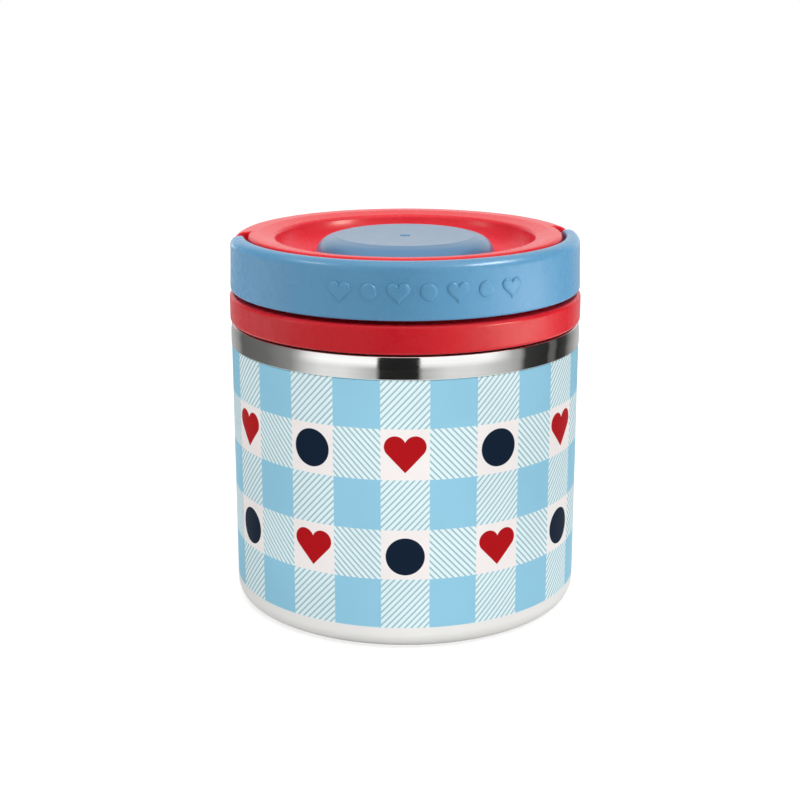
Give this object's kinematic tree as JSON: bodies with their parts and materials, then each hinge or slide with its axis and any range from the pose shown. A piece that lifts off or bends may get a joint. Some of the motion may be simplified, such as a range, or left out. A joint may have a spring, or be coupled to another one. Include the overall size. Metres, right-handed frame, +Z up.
{
  "type": "stackable insulated lunch jar",
  "caption": "Round double-wall steel lunch jar with a screw lid, a swing handle folded round the lid and a domed press vent in a dished top; gingham print with hearts and dots.",
  "frame": {"origin": "centre of the foot ring, on the plane the jar stands on", "axes": "+Z up along the jar's axis; the middle of the print and the handle's front face -Y; +X to the right seen from the front"},
  "size_m": [0.105, 0.105, 0.1113],
  "materials": {
    "steel": "satin turned steel",
    "lacquer_print": "satin white lacquer with a printed gingham pattern",
    "steel_inside": "polished steel",
    "foil": "bright foil",
    "braze": "dull grey",
    "silicone": "matt translucent white",
    "red_plastic": "semi-gloss",
    "blue_plastic": "semi-gloss",
    "button_plastic": "satin",
    "white_plastic": "matt",
    "foam": "rigid foam",
    "pin_steel": "ground steel",
    "spring_steel": "drawn wire"
  },
  "bodies": {
    "jar": {"outer_shell": "steel", "printed_coat": "lacquer_print", "inner_pot": "steel_inside", "radiation_foil": "foil", "base_plate": "steel_inside", "sealing_bead": "braze", "getter": "braze", "getter_strap": "steel_inside"},
    "lid_seal": {"mouth_gasket": "silicone"},
    "lid": {"lid_shell": "red_plastic", "lid_liner": "white_plastic", "lid_foam": "foam", "vent_spring": "spring_steel"},
    "handle": {"handle": "blue_plastic", "handle_pin_left": "pin_steel", "handle_pin_right": "pin_steel"},
    "vent": {"vent_button": "button_plastic", "vent_stem": "white_plastic", "vent_seal": "silicone", "vent_clip": "pin_steel"}
  },
  "joints": [
    {"name": "lid_lift", "type": "slide", "parent": "jar", "child": "lid_seal", "axis": [0, 0, 1], "range_m": [0, 0.01201]},
    {"name": "lid_turn", "type": "hinge", "parent": "lid_seal", "child": "lid", "pos_m": [0, 0, 0.09], "axis": [0, 0, 1], "range_deg": [0, 360]},
    {"name": "handle_swing", "type": "hinge", "parent": "lid", "child": "handle", "pos_m": [0.00021, -0.00169, 0.10495], "axis": [-0.9925, -0.1219, 0], "range_deg": [0, 92]},
    {"name": "vent_press", "type": "slide", "parent": "lid", "child": "vent", "axis": [0, 0, -1], "range_m": [0, 0.0025], "stiffness_N_per_m": 900, "springref_m": -0.002, "deforming": ["vent_spring"]}
  ],
  "couplings": [
    {"joint": "lid_lift", "follows": "lid_turn", "m_per_rad": 0.0019099}
  ]
}
